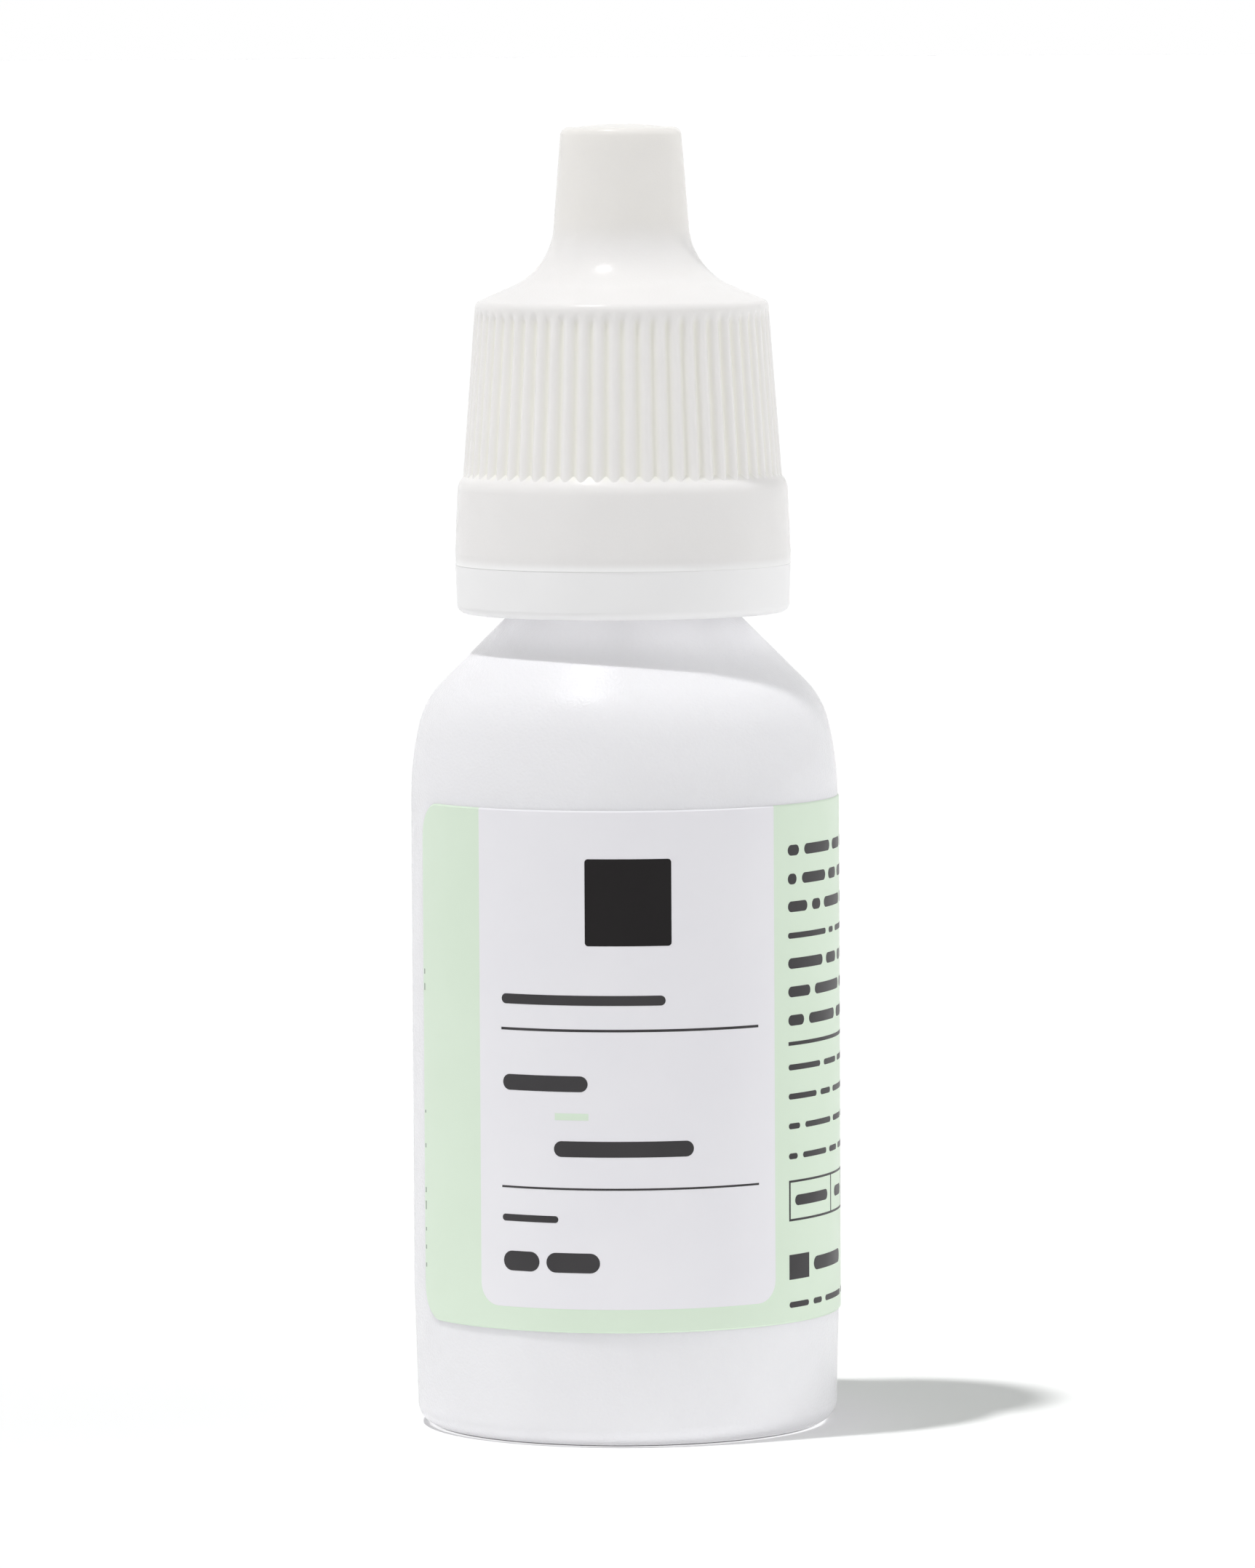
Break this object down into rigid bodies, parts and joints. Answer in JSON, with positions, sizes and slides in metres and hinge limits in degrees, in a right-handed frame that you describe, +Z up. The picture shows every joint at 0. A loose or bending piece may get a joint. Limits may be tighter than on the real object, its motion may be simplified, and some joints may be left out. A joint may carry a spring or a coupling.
{
  "type": "eye drop bottle",
  "caption": "Small squeezable dropper bottle with a press-fitted nozzle insert, a ribbed screw cap with a narrow nose, a break-away ring and a wrapped label.",
  "frame": {"origin": "centre of the bottle's foot, on the surface it stands on", "axes": "+Z up along the bottle's axis, -Y out of the middle of the label's front panel"},
  "size_m": [0.0252, 0.0254, 0.0762],
  "materials": {
    "bottle_plastic": "satin",
    "insert_plastic": "satin",
    "label_film": "satin",
    "solution": "gloss",
    "ring_plastic": "satin",
    "cap_plastic": "satin"
  },
  "bodies": {
    "bottle": {"bottle": "bottle_plastic", "dropper_insert": "insert_plastic", "label": "label_film", "solution": "solution"},
    "tamper_ring": {"tamper_ring": "ring_plastic"},
    "cap": {"screw_cap": "cap_plastic"}
  },
  "joints": [
    {"name": "cap_turn", "type": "hinge", "parent": "bottle", "child": "tamper_ring", "pos_m": [0, 0, 0.05047], "axis": [0, 0, 1], "range_deg": [0, 3060]},
    {"name": "cap_rise", "type": "slide", "parent": "tamper_ring", "child": "cap", "axis": [0, 0, 1], "range_m": [0, 0.02551]}
  ],
  "couplings": [
    {"joint": "cap_rise", "follows": "cap_turn", "m_per_rad": 0.00047746}
  ]
}
